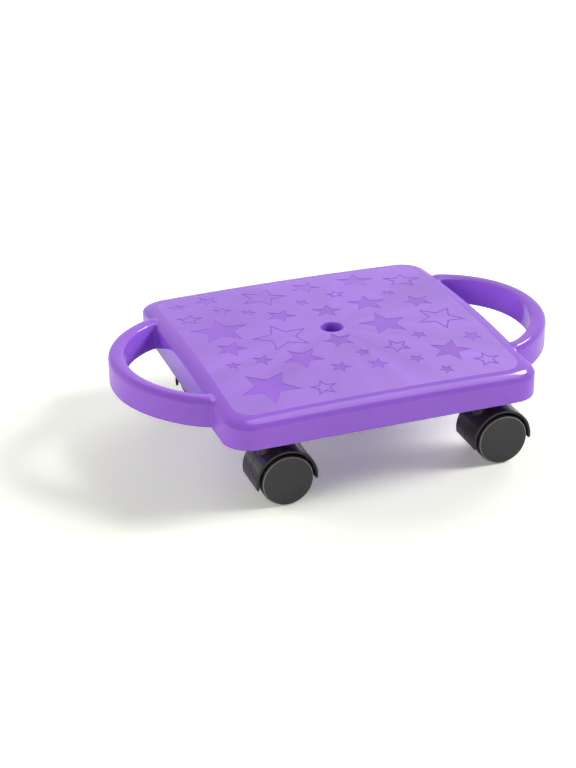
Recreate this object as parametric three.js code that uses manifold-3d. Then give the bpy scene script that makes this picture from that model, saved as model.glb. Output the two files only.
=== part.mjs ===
import * as THREE from 'three';
import { mergeVertices } from 'three/addons/utils/BufferGeometryUtils.js';
import Module from 'manifold-3d';

const wasm = await Module();
wasm.setup();

// A low board on four swivel casters. The origin is on the floor under the middle of the deck.
// X runs along the two side handles, Y from front to back, and Z up. All lengths are in mm.

// Deck sizes
const deckWidth = 305;
const deckDepth = 297;
const deckCornerRadius = 26;
const deckEdgeHeight = 94.5;
const skirtDrop = 24;
const crownAlongDepth = 8.1;
const crownAlongWidth = 2.3;
const edgeRoundDrop = 5.7;
const edgeRoundReach = 14;
const deckWall = 3.2;
const ribThickness = 2.4;
const ribLift = 1.2;
const centreHoleRadius = 10.5;
const centreTubeWall = 3;
const insideCornerRadius = 4;

// Handle sizes
const handleReach = 65;
const handleHalfSpan = 97;
const fingerReach = 50;
const fingerHalfSpan = 79.7;
const handleRise = 7.8;
const handleBottomLift = 4.3;
const handleRootDrop = 2.2;
const handleRootSink = 1.3;
const handleRootDepth = 9;
const handleOuterDrop = 6;
const handleInnerDrop = 2.6;
const handleWall = 3.2;

// Caster sizes
const casterInsetAlongWidth = 45.2;
const casterInsetAlongDepth = 36.5;
const casterTrail = 13.2;
const wheelRadius = 25;
const wheelPairWidth = 44;
const wheelGap = 17.2;
const treadDepth = 4.4;
const faceFlangeRadius = 24.2;
const faceFlangeThickness = 2.2;
const faceEdgeRound = 0.9;
const treadEdgeRound = 1.4;
const hubBossRadius = 7.4;
const hubPocketRadius = 17.4;
const hubFaceThickness = 2.6;
const axleRadius = 3;
const hoodWall = 2.4;
const hoodClearance = 2.1;
const hoodLength = 40;
const webThickness = 5.2;
const columnRadius = 8.2;
const axleBossRadius = 6.8;
const housingHeight = 59.8;

// Stem and socket sizes
const stemRadius = 5.5;
const stemDepthInHousing = 22;
const stemLengthAboveHousing = 24;
const stemCollarRadius = 8;
const stemCollarThickness = 1.6;
const stemTipChamfer = 1;
const ringGrooveRadius = 4.2;
const ringGrooveHeight = 3.4;
const ringGrooveFromTip = 3;
const ringSplitWidth = 2.4;
const socketWall = 1.6;
const socketFlangeRadius = 9.4;
const socketFlangeThickness = 1.1;
const socketDepth = 25.4;
const bossWall = 3.6;

// Clearances and overruns
const fitGap = 0.3;
const runningGap = 0.4;
const cutOverrun = 6;

// Facet counts
const wheelFacets = 20;
const roundFacets = 16;
const smallFacets = 12;
const cornerSteps = 4;
const sideSteps = 5;
const edgeRoundSteps = 3;
const hollowRoundSteps = 1;
const crownRings = 4;
const hollowCrownRings = 2;
const handleSteps = 18;
const hoodSteps = 14;
const ribsEachWay = 6;

// Shape shares
const handleCurvePower = 2.11;
const handleFlatPower = 0.77;
const handleRootPower = 3;
const handleCrownShares = [[0.05, 0.6], [0.16, 0.3], [0.42, 0], [0.72, 0.12]];
const channelShare = 0.96;
const hoodFrontDegrees = 10;
const hoodBackDegrees = 5;

// Resting direction of each caster, in degrees about Z
const casterPlaces = {
  front_left: { x: -1, y: -1, heading: 0 },
  front_right: { x: 1, y: -1, heading: 0 },
  rear_left: { x: -1, y: 1, heading: -20 },
  rear_right: { x: 1, y: 1, heading: 0 },
};

// Derived sizes
const halfWidth = deckWidth / 2;
const halfDepth = deckDepth / 2;
const skirtBottom = deckEdgeHeight - skirtDrop;
const wallTop = deckEdgeHeight - edgeRoundDrop;
const handleTop = deckEdgeHeight + handleRise;
const handleBottom = skirtBottom + handleBottomLift;
const casterX = halfWidth - casterInsetAlongWidth;
const casterY = halfDepth - casterInsetAlongDepth;
const collarBottom = housingHeight + fitGap;
const collarTop = collarBottom + stemCollarThickness;
const socketFlangeBottom = collarTop + fitGap;
const socketFlangeTop = socketFlangeBottom + socketFlangeThickness;
const bossBottom = socketFlangeTop + fitGap;
const socketTop = bossBottom + socketDepth;
const socketBore = stemRadius + 2 * fitGap;
const socketRadius = socketBore + socketWall;
const bossBore = socketRadius + fitGap;
const bossRadius = bossBore + bossWall;
const stemBottom = housingHeight - stemDepthInHousing;
const stemTop = housingHeight + stemLengthAboveHousing;
const grooveTop = stemTop - ringGrooveFromTip;
const grooveBottom = grooveTop - ringGrooveHeight;
const hoodInnerRadius = wheelRadius + hoodClearance;
const hoodRadius = hoodInnerRadius + hoodWall;
const wheelOuterFace = wheelPairWidth / 2;
const wheelInnerFace = wheelGap / 2;
const flangeInnerFace = wheelOuterFace - faceFlangeThickness;
const hubRadius = wheelRadius - treadDepth;
const hubFaceInside = wheelOuterFace - hubFaceThickness;
const axleBore = axleRadius + fitGap;
const axleHalfLength = hubFaceInside - runningGap;
const columnBottom = wheelRadius - axleBossRadius;

// Materials
const deckPlastic = { color: 0x8a5fd0, roughness: 0.35, metalness: 0 };
const casterPlastic = { color: 0x1b1a1c, roughness: 0.45, metalness: 0 };
const hubPlastic = { color: 0x2c2a2e, roughness: 0.4, metalness: 0 };
const treadRubber = { color: 0x141314, roughness: 0.6, metalness: 0 };
const plainSteel = { color: 0xb9bcc2, roughness: 0.3, metalness: 1 };
const springSteel = { color: 0x8f9298, roughness: 0.35, metalness: 1 };
const socketSteel = { color: 0xa9a59a, roughness: 0.4, metalness: 1 };

// Solids from geometry, and geometry from solids
function toSolid(geometry) {
  const bare = geometry.clone();
  bare.deleteAttribute('normal');
  bare.deleteAttribute('uv');
  const merged = mergeVertices(bare);
  const corners = merged.index.array;
  const kept = [];
  for (let i = 0; i < corners.length; i += 3) {
    const [a, b, c] = [corners[i], corners[i + 1], corners[i + 2]];
    if (a !== b && b !== c && c !== a) {
      kept.push(a, b, c);
    }
  }
  return new wasm.Manifold(new wasm.Mesh({
    numProp: 3,
    vertProperties: new Float32Array(merged.attributes.position.array),
    triVerts: new Uint32Array(kept),
  }));
}

function toGeometry(solid) {
  const mesh = solid.getMesh();
  const geometry = new THREE.BufferGeometry();
  geometry.setAttribute('position', new THREE.Float32BufferAttribute(mesh.vertProperties, 3));
  geometry.setIndex(Array.from(mesh.triVerts));
  geometry.computeVertexNormals();
  return geometry;
}

function signedVolume(points, faces) {
  let sum = 0;
  const [a, b, c] = [new THREE.Vector3(), new THREE.Vector3(), new THREE.Vector3()];
  for (let i = 0; i < faces.length; i += 3) {
    a.fromArray(points, 3 * faces[i]);
    b.fromArray(points, 3 * faces[i + 1]);
    c.fromArray(points, 3 * faces[i + 2]);
    sum += a.dot(b.cross(c));
  }
  return sum;
}

// A closed solid through rings of points, with a fan over the first and the last ring
function loft(rings) {
  const count = rings[0].length;
  const points = rings.flat(2);
  const faces = [];
  for (let r = 0; r + 1 < rings.length; r += 1) {
    for (let i = 0; i < count; i += 1) {
      const near = r * count;
      const far = near + count;
      const next = (i + 1) % count;
      faces.push(near + i, near + next, far + next, near + i, far + next, far + i);
    }
  }
  [rings[0], rings.at(-1)].forEach((ring, end) => {
    const middle = points.length / 3;
    points.push(...[0, 1, 2].map((k) => ring.reduce((sum, p) => sum + p[k], 0) / count));
    const start = end * (rings.length - 1) * count;
    for (let i = 0; i < count; i += 1) {
      const pair = [start + i, start + ((i + 1) % count)];
      faces.push(middle, ...(end === 0 ? pair.reverse() : pair));
    }
  });
  if (signedVolume(points, faces) < 0) {
    faces.reverse();
  }
  const geometry = new THREE.BufferGeometry();
  geometry.setAttribute('position', new THREE.Float32BufferAttribute(points, 3));
  geometry.setIndex(faces);
  return toSolid(geometry);
}

// Round solids about Z, with a flat facet on each side of the Y axis
function turned(profile, facets) {
  const points = profile.map(([radius, height]) => new THREE.Vector2(radius, height));
  const geometry = new THREE.LatheGeometry(points, facets);
  geometry.rotateY(Math.PI / facets);
  geometry.rotateX(Math.PI / 2);
  return toSolid(geometry);
}

function rod(radius, bottom, top, facets) {
  return turned([[0, bottom], [radius, bottom], [radius, top], [0, top]], facets);
}

// The radius of the corners of a faceted circle whose flats lie at the given radius
function roundTo(radius, facets) {
  return radius / Math.cos(Math.PI / facets);
}

function block(size, centre) {
  const geometry = new THREE.BoxGeometry(...size);
  geometry.translate(...centre);
  return toSolid(geometry);
}

function moved(solid, x, y, z) {
  return solid.translate([x, y, z]);
}

function unionOf(solids) {
  return solids.reduce((whole, next) => whole.add(next));
}

function part(name, solid, look) {
  const mesh = new THREE.Mesh(toGeometry(solid), new THREE.MeshStandardMaterial(look));
  mesh.name = name;
  return mesh;
}

// Deck outline and crown
function deckOutline(inset) {
  const [x, y] = [halfWidth - inset, halfDepth - inset];
  const radius = Math.max(deckCornerRadius - inset, insideCornerRadius);
  const corners = [[1, -1, -90], [1, 1, 0], [-1, 1, 90], [-1, -1, 180]];
  const outline = [];
  corners.forEach(([sideX, sideY, startDegrees]) => {
    for (let i = 0; i <= cornerSteps; i += 1) {
      const angle = THREE.MathUtils.degToRad(startDegrees + 90 * i / cornerSteps);
      outline.push([
        sideX * (x - radius) + radius * Math.cos(angle),
        sideY * (y - radius) + radius * Math.sin(angle),
      ]);
    }
  });
  return divideSides(outline);
}

function divideSides(outline) {
  const divided = [];
  const perCorner = cornerSteps + 1;
  outline.forEach((point, i) => {
    divided.push(point);
    if (i % perCorner === cornerSteps) {
      const next = outline[(i + 1) % outline.length];
      for (let k = 1; k < sideSteps; k += 1) {
        divided.push(point.map((value, axis) => value + (next[axis] - value) * k / sideSteps));
      }
    }
  });
  return divided;
}

function crownRise(x, y) {
  const alongDepth = crownAlongDepth * (1 - (y / halfDepth) ** 2);
  const alongWidth = crownAlongWidth * (1 - (x / halfWidth) ** 2);
  return alongDepth + alongWidth;
}

function flatRing(inset, height) {
  return deckOutline(inset).map(([x, y]) => [x, y, height]);
}

function crownedRing(inset, height) {
  return deckOutline(inset).map(([x, y]) => [x, y, height + crownRise(x, y)]);
}

// The deck's outer form, or with an inset and a drop, the hollow under it
function deckForm(inset, drop, bottom, roundSteps, ringCount) {
  const rings = [flatRing(inset, bottom)];
  for (let i = 0; i <= roundSteps; i += 1) {
    const angle = Math.PI / 2 * i / roundSteps;
    const reach = inset + edgeRoundReach * (1 - Math.cos(angle));
    rings.push(crownedRing(reach, wallTop - drop + edgeRoundDrop * Math.sin(angle)));
  }
  const start = inset + edgeRoundReach;
  const end = halfDepth - centreHoleRadius;
  for (let i = 1; i <= ringCount; i += 1) {
    rings.push(crownedRing(start + (end - start) * i / ringCount, deckEdgeHeight - drop));
  }
  return loft(rings);
}

function deckRibs() {
  const ribs = [];
  const height = deckEdgeHeight + crownAlongDepth + crownAlongWidth - skirtBottom;
  const middle = skirtBottom + ribLift + height / 2;
  for (let i = 0; i < ribsEachWay; i += 1) {
    const share = (i + 1) / (ribsEachWay + 1) * 2 - 1;
    ribs.push(block([deckWidth, ribThickness, height], [0, share * halfDepth, middle]));
    ribs.push(block([ribThickness, deckDepth, height], [share * halfWidth, 0, middle]));
  }
  return unionOf(ribs);
}

// Handle bars, swept along the curve of each handle
function handleStation(share) {
  const reachShare = (1 - Math.abs(share) ** handleCurvePower) ** handleFlatPower;
  return {
    outer: [halfWidth + handleReach * reachShare, handleHalfSpan * share],
    inner: [halfWidth + fingerReach * reachShare, fingerHalfSpan * share],
    drop: handleRootDrop * Math.abs(share) ** handleRootPower,
  };
}

function sectionAt(station, inwards, sink, profile) {
  const { outer, inner, drop } = station;
  const width = Math.hypot(inner[0] - outer[0], inner[1] - outer[1]);
  const across = [(inner[0] - outer[0]) / width, (inner[1] - outer[1]) / width];
  return profile(width).map(([along, height]) => [
    outer[0] + across[0] * along - inwards,
    outer[1] + across[1] * along,
    height - drop - sink,
  ]);
}

function barProfile(width) {
  const crown = handleCrownShares.map(([across, drop]) => [
    across * width,
    handleTop - drop * handleOuterDrop,
  ]);
  return [
    [0, handleBottom],
    [0, handleTop - handleOuterDrop],
    ...crown,
    [width, handleTop - handleInnerDrop],
    [width, handleBottom],
  ];
}

function channelProfile(width) {
  const ceiling = handleTop - handleOuterDrop - handleWall;
  return [
    [handleWall, skirtBottom - cutOverrun],
    [handleWall, ceiling],
    [width - handleWall, ceiling],
    [width - handleWall, skirtBottom - cutOverrun],
  ];
}

function handleSweep(shareLimit, rootDepth, profile) {
  const sections = [];
  for (let i = 0; i <= handleSteps; i += 1) {
    const share = -Math.cos(Math.PI * i / handleSteps) * shareLimit;
    sections.push(sectionAt(handleStation(share), 0, 0, profile));
  }
  if (rootDepth > 0) {
    sections.unshift(sectionAt(handleStation(-shareLimit), rootDepth, handleRootSink, profile));
    sections.push(sectionAt(handleStation(shareLimit), rootDepth, handleRootSink, profile));
  }
  return loft(sections);
}

function bothSides(solid) {
  return solid.add(solid.mirror([1, 0, 0]));
}

function casterSpots() {
  return Object.values(casterPlaces).map(({ x, y }) => [x * casterX, y * casterY]);
}

function atCasters(makeSolid) {
  return unionOf(casterSpots().map(([x, y]) => moved(makeSolid(x, y), x, y, 0)));
}

function deckBody() {
  const outside = deckForm(0, 0, skirtBottom, edgeRoundSteps, crownRings);
  const hollowBottom = skirtBottom - cutOverrun;
  const hollow = deckForm(deckWall, deckWall, hollowBottom, hollowRoundSteps, hollowCrownRings);
  const handles = bothSides(handleSweep(1, handleRootDepth, barProfile));
  const channels = bothSides(handleSweep(channelShare, 0, channelProfile));
  const shell = outside.add(handles).subtract(hollow).subtract(channels);
  const ribs = deckRibs().intersect(outside);
  const bossTop = (x, y) => deckEdgeHeight + crownRise(x, y) - deckWall / 2;
  const bosses = atCasters((x, y) => rod(bossRadius, bossBottom, bossTop(x, y), roundFacets));
  const boreTop = socketTop + fitGap;
  const boreRadius = roundTo(bossBore, roundFacets);
  const bores = atCasters(() => rod(boreRadius, bossBottom - cutOverrun, boreTop, roundFacets));
  const skinMiddle = deckEdgeHeight + crownRise(0, 0) - deckWall / 2;
  const tube = rod(centreHoleRadius + centreTubeWall, skirtBottom + ribLift, skinMiddle, roundFacets);
  const holeTop = skinMiddle + cutOverrun;
  const hole = rod(roundTo(centreHoleRadius, roundFacets), skirtBottom - cutOverrun, holeTop, roundFacets);
  return unionOf([shell, ribs, bosses, tube]).subtract(bores).subtract(hole);
}

// Caster pieces, each about its own swivel axis, with the axle towards +X
function socket() {
  const bore = roundTo(socketBore, roundFacets);
  return turned([
    [bore, socketFlangeBottom],
    [socketFlangeRadius, socketFlangeBottom],
    [socketFlangeRadius, socketFlangeTop],
    [socketRadius, socketFlangeTop],
    [socketRadius, socketTop],
    [bore, socketTop],
    [bore, socketFlangeBottom],
  ], roundFacets);
}

function gripRing() {
  const bore = roundTo(ringGrooveRadius + fitGap, roundFacets);
  const radius = socketBore - fitGap;
  const [bottom, top] = [grooveBottom + runningGap, grooveTop - runningGap];
  const whole = turned([[bore, bottom], [radius, bottom], [radius, top], [bore, top], [bore, bottom]], roundFacets);
  const split = block([2 * radius, ringSplitWidth, ringGrooveHeight], [-radius, 0, (bottom + top) / 2]);
  return whole.subtract(split);
}

function stem() {
  return turned([
    [0, stemBottom],
    [stemRadius, stemBottom],
    [stemRadius, collarBottom],
    [stemCollarRadius, collarBottom],
    [stemCollarRadius, collarTop],
    [stemRadius, collarTop],
    [stemRadius, grooveBottom],
    [ringGrooveRadius, grooveBottom],
    [ringGrooveRadius, grooveTop],
    [stemRadius, grooveTop],
    [stemRadius, stemTop - stemTipChamfer],
    [stemRadius - stemTipChamfer, stemTop],
    [0, stemTop],
  ], smallFacets);
}

function onAxle(solid) {
  return moved(solid.rotate([90, 0, 0]), casterTrail, 0, wheelRadius);
}

// A band of the hood's curve, from its back end over the top to its front end
function hoodArc(radius) {
  const arc = [];
  for (let i = 0; i <= hoodSteps; i += 1) {
    const degrees = (180 + hoodFrontDegrees + hoodBackDegrees) * i / hoodSteps - hoodBackDegrees;
    const angle = THREE.MathUtils.degToRad(degrees);
    arc.push(new THREE.Vector2(radius * Math.cos(angle), radius * Math.sin(angle)));
  }
  return arc;
}

function hoodSector(outerRadius, innerRadius, length) {
  const shape = new THREE.Shape([...hoodArc(outerRadius), ...hoodArc(innerRadius).reverse()]);
  const geometry = new THREE.ExtrudeGeometry(shape, { depth: length, bevelEnabled: false });
  geometry.translate(0, 0, -length / 2);
  return onAxle(toSolid(geometry));
}

function housing() {
  const hood = hoodSector(hoodRadius, hoodInnerRadius, hoodLength);
  const web = hoodSector(hoodInnerRadius + hoodWall / 2, axleBossRadius / 2, webThickness);
  const column = rod(columnRadius, columnBottom, housingHeight, roundFacets);
  const bossHalf = wheelInnerFace - runningGap;
  const boss = onAxle(rod(axleBossRadius, -bossHalf, bossHalf, roundFacets));
  const axleHole = onAxle(rod(roundTo(axleBore, smallFacets), -hoodLength, hoodLength, smallFacets));
  const stemHole = rod(
    roundTo(stemRadius + fitGap, smallFacets),
    stemBottom - fitGap,
    housingHeight + cutOverrun,
    smallFacets,
  );
  return unionOf([hood, web, column, boss]).subtract(axleHole).subtract(stemHole);
}

function axle() {
  return onAxle(rod(axleRadius, -axleHalfLength, axleHalfLength, smallFacets));
}

// One wheel of the pair, with its outer face towards the end of the axle named by side
function onWheelSide(solid, side) {
  const placed = onAxle(solid);
  return side > 0 ? placed : placed.mirror([0, 1, 0]);
}

function hub(side) {
  const rim = roundTo(hubRadius - fitGap, wheelFacets);
  const flange = roundTo(faceFlangeRadius, wheelFacets);
  return onWheelSide(turned([
    [0, hubFaceInside],
    [roundTo(axleBore, wheelFacets), hubFaceInside],
    [roundTo(axleBore, wheelFacets), wheelInnerFace],
    [hubBossRadius, wheelInnerFace],
    [hubBossRadius, hubFaceInside],
    [hubPocketRadius, hubFaceInside],
    [hubPocketRadius, wheelInnerFace],
    [rim, wheelInnerFace],
    [rim, flangeInnerFace],
    [flange, flangeInnerFace],
    [flange, wheelOuterFace - faceEdgeRound],
    [flange - faceEdgeRound, wheelOuterFace],
    [0, wheelOuterFace],
  ], wheelFacets), side);
}

function tread(side) {
  const bore = roundTo(hubRadius, wheelFacets);
  const radius = roundTo(wheelRadius, wheelFacets);
  const outer = flangeInnerFace - fitGap;
  return onWheelSide(turned([
    [bore, wheelInnerFace],
    [radius - treadEdgeRound, wheelInnerFace],
    [radius, wheelInnerFace + treadEdgeRound],
    [radius, outer - treadEdgeRound],
    [radius - treadEdgeRound, outer],
    [bore, outer],
    [bore, wheelInnerFace],
  ], wheelFacets), side);
}

const sharedSolids = {
  socket: socket(),
  gripRing: gripRing(),
  stem: stem(),
  housing: housing(),
  axle: axle(),
};

function caster(corner, { x, y, heading }) {
  const group = new THREE.Group();
  group.position.set(x * casterX, y * casterY, 0);
  const swivel = new THREE.Group();
  swivel.rotation.z = THREE.MathUtils.degToRad(heading);
  group.add(part(`${corner}_socket`, sharedSolids.socket, socketSteel));
  group.add(part(`${corner}_grip_ring`, sharedSolids.gripRing, springSteel));
  swivel.add(part(`${corner}_stem`, sharedSolids.stem, plainSteel));
  swivel.add(part(`${corner}_housing`, sharedSolids.housing, casterPlastic));
  swivel.add(part(`${corner}_axle`, sharedSolids.axle, plainSteel));
  [['near', -1], ['far', 1]].forEach(([end, side]) => {
    swivel.add(part(`${corner}_${end}_hub`, hub(-side), hubPlastic));
    swivel.add(part(`${corner}_${end}_tread`, tread(-side), treadRubber));
  });
  group.add(swivel);
  return group;
}

const board = new THREE.Group();
board.add(part('deck', deckBody(), deckPlastic));
Object.entries(casterPlaces).forEach(([corner, place]) => board.add(caster(corner, place)));

export default board;
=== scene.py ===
import math

import bmesh
import bpy
from mathutils import Matrix, Vector
from mathutils.geometry import delaunay_2d_cdt


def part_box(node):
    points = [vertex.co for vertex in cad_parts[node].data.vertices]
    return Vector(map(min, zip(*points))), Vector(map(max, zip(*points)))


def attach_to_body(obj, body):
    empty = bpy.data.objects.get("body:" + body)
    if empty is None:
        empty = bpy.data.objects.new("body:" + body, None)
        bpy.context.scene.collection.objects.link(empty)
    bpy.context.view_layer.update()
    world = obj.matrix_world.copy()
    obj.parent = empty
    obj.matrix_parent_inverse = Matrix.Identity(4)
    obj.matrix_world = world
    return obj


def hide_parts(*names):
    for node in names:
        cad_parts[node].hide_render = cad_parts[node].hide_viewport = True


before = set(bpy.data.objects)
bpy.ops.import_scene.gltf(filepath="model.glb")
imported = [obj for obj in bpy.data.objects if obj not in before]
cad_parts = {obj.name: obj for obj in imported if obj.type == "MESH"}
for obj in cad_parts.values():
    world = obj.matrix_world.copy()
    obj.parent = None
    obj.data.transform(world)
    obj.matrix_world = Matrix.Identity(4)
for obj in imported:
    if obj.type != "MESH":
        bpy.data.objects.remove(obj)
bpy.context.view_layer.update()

# Lengths are in metres. MM turns a length in millimetres into metres.
MM = 0.001
CORNERS = ("front_left", "front_right", "rear_left", "rear_right")


def box_size(node):
    low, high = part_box(node)
    return high - low


def box_middle(node):
    low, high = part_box(node)
    return (low + high) / 2


# Deck sizes
DECK_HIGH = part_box("deck")[1]
HANDLE_REACH = 65 * MM
HALF_WIDTH = DECK_HIGH.x - HANDLE_REACH
HALF_DEPTH = DECK_HIGH.y
SKIRT_BOTTOM = 70.5 * MM
EDGE_HEIGHT = 94.5 * MM
DECK_CORNER_RADIUS = 26 * MM
CROWN_ALONG_DEPTH = 8.1 * MM
CROWN_ALONG_WIDTH = 2.3 * MM
EDGE_ROUND_DROP = 5.7 * MM
EDGE_ROUND_REACH = 14 * MM
EDGE_LAST_DEGREES = 84
EDGE_STEPS = 18
HOLLOW_EDGE_STEPS = 8
WALL_TOP = EDGE_HEIGHT - EDGE_ROUND_DROP
DECK_WALL = 3.2 * MM
RIM_ROUND = 0.9 * MM
RIM_STEPS = 5
ROUND_SUPPORT = 0.4 * MM
CUT_LIMIT_SHARE = 0.45
INSIDE_CORNER_RADIUS = 4 * MM
PANEL_CORNER_RADIUS = 18 * MM
PANEL_INSET_SIDE = 13.2 * MM
PANEL_INSET_FRONT = 16.6 * MM
PANEL_INSET_BACK = 14.6 * MM
PANEL_GRID = 7 * MM
CEILING_GRID = 13 * MM
HOLE_RADIUS = 10.5 * MM
HOLE_RIM_ROUND = 1.3 * MM
HOLE_RIM_STEP_DEGREES = 15
HOLE_SEGMENTS = 48
TUBE_WALL = 3 * MM
RIB_THICKNESS = 2.4 * MM
RIB_FOOT_SHARE = 0.8
RIB_LIFT = 1.2 * MM
RIBS_EACH_WAY = 6
RIB_STEPS = 40
BOSS_WALL = 3.6 * MM
BOSS_LIFT = 1.4 * MM
BOSS_BORE_INSET = 1.4 * MM
MERGE_DISTANCE = 1e-7
CORNER_STEPS = 14
SIDE_STEPS = 26
DECK_SHARP_DEGREES = 28

# Star sizes
STAR_INNER_SHARE = 0.44
STAR_DEPTH = 0.35 * MM
STAR_SLOPE_RUN = 0.34 * MM
STAR_STROKE = 1.7 * MM
STAR_TIP_COUNT = 5
STAR_KEEP_CLEAR = 1.6 * MM
STAR_RADII = {
    "huge": 30 * MM,
    "large": 25.8 * MM,
    "broad": 21 * MM,
    "medium": 16.4 * MM,
    "modest": 14.2 * MM,
    "small": 10.8 * MM,
    "tiny": 8.4 * MM,
}

# Sunk stars: place as shares of the deck's half width and half depth, size, and turn in degrees
SUNK_STARS = (
    (-0.67, 0.21, "huge", -7),
    (-0.63, -0.62, "huge", 29),
    (0.33, -0.07, "large", -1),
    (-0.32, -0.35, "broad", 26),
    (0.35, 0.28, "broad", -12),
    (0.57, -0.55, "broad", -29),
    (0.43, 0.71, "broad", -18),
    (-0.24, 0.29, "medium", 33),
    (0.06, 0.25, "medium", -19),
    (-0.03, -0.20, "medium", 9),
    (-0.69, -0.07, "medium", -33),
    (0.08, 0.72, "medium", 34),
    (0.67, 0.20, "medium", 12),
    (-0.59, 0.76, "modest", 15),
    (0.08, -0.58, "small", -25),
    (-0.15, -0.54, "small", -32),
    (-0.56, -0.29, "small", -31),
    (-0.56, 0.53, "small", -29),
    (-0.80, 0.73, "small", -9),
    (0.78, -0.42, "small", 18),
    (0.45, -0.77, "tiny", 14),
    (0.33, -0.59, "tiny", 25),
    (0.47, -0.30, "tiny", 12),
    (0.05, -0.41, "tiny", -1),
    (-0.75, -0.29, "tiny", -19),
    (-0.41, 0.43, "tiny", -34),
    (-0.04, 0.45, "tiny", 24),
    (0.55, 0.40, "tiny", 29),
)

# Outlined stars, written the same way
OUTLINED_STARS = (
    (-0.34, -0.03, "huge", 5),
    (0.70, -0.10, "large", 29),
    (-0.24, 0.66, "large", -32),
    (0.73, 0.60, "broad", -19),
    (0.74, -0.73, "modest", -3),
    (0.28, -0.40, "modest", 15),
    (-0.33, -0.74, "modest", -3),
    (-0.79, 0.48, "modest", -19),
    (0.22, 0.51, "small", -5),
)

# Handle sizes
HANDLE_HALF_SPAN = 97 * MM
FINGER_REACH = 50 * MM
FINGER_HALF_SPAN = 79.7 * MM
HANDLE_TOP = EDGE_HEIGHT + 7.8 * MM
HANDLE_BOTTOM = SKIRT_BOTTOM + 4.3 * MM
HANDLE_ROOT_DROP = 2.2 * MM
HANDLE_ROOT_POWER = 3
HANDLE_ROOT_SINK = 2.6 * MM
HANDLE_SINK_POWER = 1.5
HANDLE_ROOT_BLEND = 1.2 * MM
HANDLE_ROOT_BURIAL = 0.08 * MM
HANDLE_ROOT_DEPTH = 9 * MM
HANDLE_ROOT_STEPS = 12
HANDLE_SKIN = 2.4 * MM
HANDLE_SQUEEZE = 0.04
HANDLE_OUTER_DROP = 6 * MM
HANDLE_INNER_DROP = 2.6 * MM
HANDLE_WALL = 3.2 * MM
HANDLE_CHANNEL_ROUND = 1.5 * MM
HANDLE_ARC_STEP_DEGREES = 9
HANDLE_FILLET = 2.4 * MM
HANDLE_CREST_SHARE = 0.42
HANDLE_CURVE_POWER = 2.11
HANDLE_FLAT_POWER = 0.77
HANDLE_STEPS = 110

# Caster sizes
CASTER_SHARP_DEGREES = 30
ROUND_SEGMENTS = 48
SMALL_ROUND_SEGMENTS = 40
WHEEL_SEGMENTS = 96
WHEEL_RADIUS = box_size("front_left_near_tread").z / 2
WHEEL_PAIR_HALF = 22 * MM
WHEEL_INNER_FACE = 8.6 * MM
CASTER_TRAIL = 13.2 * MM
TREAD_DEPTH = 4.4 * MM
FACE_RADIUS = 24.2 * MM
FACE_THICKNESS = 2.2 * MM
FACE_EDGE_ROUND = 0.9 * MM
FACE_EDGE_STEPS = 6
FACE_DOME = 0.35 * MM
FACE_DOME_SHARES = (0.85, 0.7, 0.5, 0.3, 0.12)
TREAD_ROUND = 1.4 * MM
TREAD_ROUND_STEPS = 5
HUB_BOSS_RADIUS = 7.4 * MM
HUB_POCKET_RADIUS = 17.4 * MM
HUB_FACE_INSIDE = WHEEL_PAIR_HALF - 2.6 * MM
AXLE_RADIUS = 3 * MM
AXLE_CHAMFER = 0.4 * MM
AXLE_SEGMENTS = 32
HOOD_INNER_RADIUS = WHEEL_RADIUS + 2.1 * MM
HOOD_WALL = 2.4 * MM
HOOD_HALF_LENGTH = 20 * MM
HOOD_EDGE_ROUND = 0.7 * MM
HOOD_EDGE_STEPS = 3
HOOD_STEPS = 72
HOOD_LIP_SHARES = (0.05, 0.3, 0.65)
HOOD_FRONT_DEGREES = 10
HOOD_BACK_DEGREES = 5
HOOD_SEAM_WIDTH = 0.5 * MM
HOOD_SEAM_DEPTH = 0.25 * MM
WEB_HALF = 2.6 * MM
WEB_STEPS = 60
COLUMN_RADIUS = 8.2 * MM
COLUMN_FOOT = 18.2 * MM
COLUMN_TOP = 59.8 * MM
AXLE_BOSS_RADIUS = 6.8 * MM
AXLE_BOSS_HALF = 8.2 * MM
STEM_RADIUS = 5.5 * MM
STEM_FOOT_CHAMFER = 0.5 * MM
STEM_TIP_CHAMFER = 1 * MM
STEM_COLLAR_RADIUS = 8 * MM
STEM_COLLAR_THICKNESS = 1.6 * MM
STEM_COLLAR_CHAMFER = 0.3 * MM
STEM_GROOVE_RADIUS = 4.2 * MM
STEM_GROOVE_FROM_TIP = 3 * MM
STEM_GROOVE_HEIGHT = 3.4 * MM
STEM_GROOVE_SLOPE = 0.2 * MM
SOCKET_WALL = 1.6 * MM
SOCKET_FLANGE_THICKNESS = 1.1 * MM
SOCKET_ROUND = 0.25 * MM
RING_INNER_RADIUS = 4.5 * MM
RING_HALF_GAP_DEGREES = 14
RING_ROUND = 0.35 * MM
RING_STEPS = 44
FIT_GAP = 0.3 * MM

# Looks
SHELL_PLASTIC = (0.345, 0.129, 0.765, 1)
PANEL_PLASTIC = (0.39, 0.19, 0.77, 1)
HOOD_PLASTIC = (0.032, 0.027, 0.031, 1)
FACE_PLASTIC = (0.045, 0.042, 0.046, 1)
# The face rim's light grey is a painted highlight on the rounded edge of the wheel's face, not
# the plastic's own colour
FACE_RIM_PAINTED_HIGHLIGHT = (0.23, 0.225, 0.235, 1)
RUBBER = (0.014, 0.013, 0.014, 1)
PLAIN_STEEL = (0.55, 0.56, 0.58, 1)
SPRING_STEEL = (0.36, 0.37, 0.39, 1)
SOCKET_STEEL = (0.42, 0.39, 0.34, 1)
NOISE_RANGE = (0.3, 0.7)
TINT_SCALE = 14
GLOSS_CHANGE = 0.12
GRAIN_STRENGTH = 0.5
STEEL_GRAIN_SCALE = 900
STEEL_GRAIN_DEPTH = 0.01 * MM
STEEL_TINT_CHANGE = 0.06
STEEL_STRETCH = (1, 1, 12)
STREAK_SCALE = 5
STREAK_SHARE = 0.6
CLOUD_SCALE = 9
PANEL_TINT_CHANGE = 0.18
PANEL_ROUGHNESS = (0.5, 0.64)
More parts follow.
